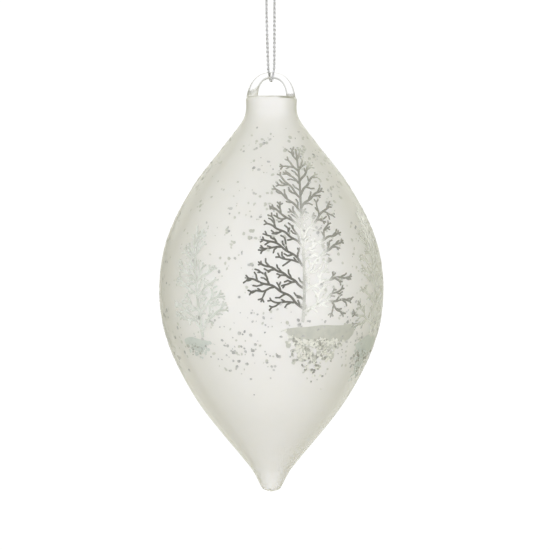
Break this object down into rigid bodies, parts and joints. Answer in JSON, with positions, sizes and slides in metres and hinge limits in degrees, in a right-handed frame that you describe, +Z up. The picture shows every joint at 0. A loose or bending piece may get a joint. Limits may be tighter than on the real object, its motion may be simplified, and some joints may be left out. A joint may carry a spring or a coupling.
{
  "type": "hanging glass ornament",
  "caption": "Spindle-shaped blown glass ornament with silvered trees and snow banks, hung by a clear glass eye from a knotted metallic thread loop.",
  "frame": {"origin": "the hanging point, in the crotch of the cord loop just under its knot", "axes": "+Z up along the hanging ornament's axis, -Y towards the viewer of the main tree, +X to the viewer's right"},
  "size_m": [0.08, 0.0822, 0.2073],
  "materials": {
    "frosted_glass": "pearl frosted, satin outside",
    "clear_glass": "clear, fire polished",
    "silver_film": "bright silvered film",
    "silver_thread": "twisted metallic thread"
  },
  "bodies": {
    "hanger": {"cord_knot": "silver_thread"},
    "cord": {"cord_back_strand": "silver_thread", "cord_front_strand": "silver_thread"},
    "bight": {"cord_bight": "silver_thread"},
    "ornament": {"glass_loop": "clear_glass", "glass_body": "frosted_glass", "tree_front": "silver_film", "tree_left": "silver_film", "tree_right": "silver_film", "tree_rear_right": "silver_film", "tree_rear": "silver_film", "tree_rear_left": "silver_film", "bank_front": "silver_film", "bank_left": "silver_film", "bank_right": "silver_film", "bank_rear_right": "silver_film", "bank_rear": "silver_film", "bank_rear_left": "silver_film"}
  },
  "joints": [
    {"name": "cord_swing", "type": "hinge", "parent": "hanger", "child": "cord", "pos_m": [0, 0, 0.0025], "axis": [0, 1, 0], "range_deg": [-60, 60]},
    {"name": "ornament_swivel", "type": "hinge", "parent": "cord", "child": "bight", "pos_m": [0, 0, -0.047], "axis": [0, 0, 1], "range_deg": [-180, 180]},
    {"name": "ornament_nod", "type": "hinge", "parent": "bight", "child": "ornament", "pos_m": [0, 0, -0.0489], "axis": [1, 0, 0], "range_deg": [-90, 90]}
  ]
}
